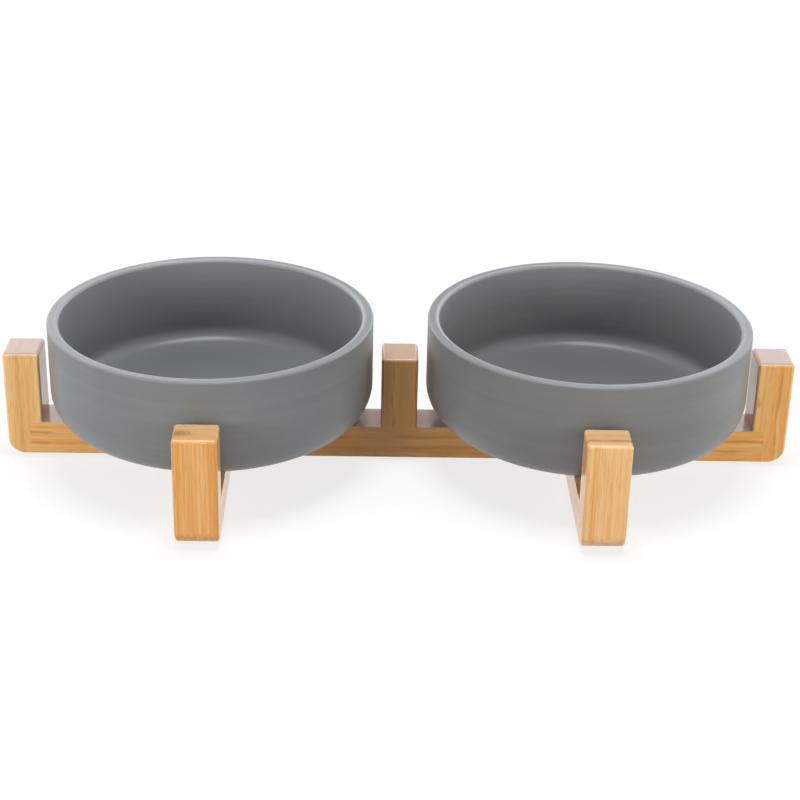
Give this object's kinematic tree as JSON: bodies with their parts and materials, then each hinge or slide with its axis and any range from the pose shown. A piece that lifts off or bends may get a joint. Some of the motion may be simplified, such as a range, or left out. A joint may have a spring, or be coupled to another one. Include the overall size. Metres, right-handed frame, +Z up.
{
  "type": "double pet bowl",
  "caption": "Round grey stoneware feeding bowls that lift out of a low bamboo stand of crossed rails and short upright posts.",
  "frame": {"origin": "on the floor under the middle of the stand", "axes": "+X to the right along the long rail, +Y to the rear along the cross rails, +Z up"},
  "size_m": [0.3796, 0.1986, 0.0722],
  "materials": {
    "bowl_glaze": "satin matt grey glaze",
    "bamboo": "laminated bamboo under satin lacquer",
    "dowel_wood": "plain beech, unfinished",
    "pad_rubber": "matt soft rubber"
  },
  "bodies": {
    "stand": {"long_rail": "bamboo", "left_cross_rail": "bamboo", "right_cross_rail": "bamboo", "left_end_post": "bamboo", "right_end_post": "bamboo", "centre_post": "bamboo", "left_front_post": "bamboo", "left_rear_post": "bamboo", "right_front_post": "bamboo", "right_rear_post": "bamboo", "corner_dowels": "dowel_wood", "centre_dowels": "dowel_wood", "left_end_pad": "pad_rubber", "right_end_pad": "pad_rubber", "left_front_pad": "pad_rubber", "left_rear_pad": "pad_rubber", "right_front_pad": "pad_rubber", "right_rear_pad": "pad_rubber"},
    "left_bowl": {"left_bowl": "bowl_glaze"},
    "right_bowl": {"right_bowl": "bowl_glaze"}
  },
  "joints": [
    {"name": "left_bowl_lift", "type": "slide", "parent": "stand", "child": "left_bowl", "axis": [0, 0, 1], "range_m": [0, 0.08]},
    {"name": "right_bowl_lift", "type": "slide", "parent": "stand", "child": "right_bowl", "axis": [0, 0, 1], "range_m": [0, 0.08]}
  ]
}
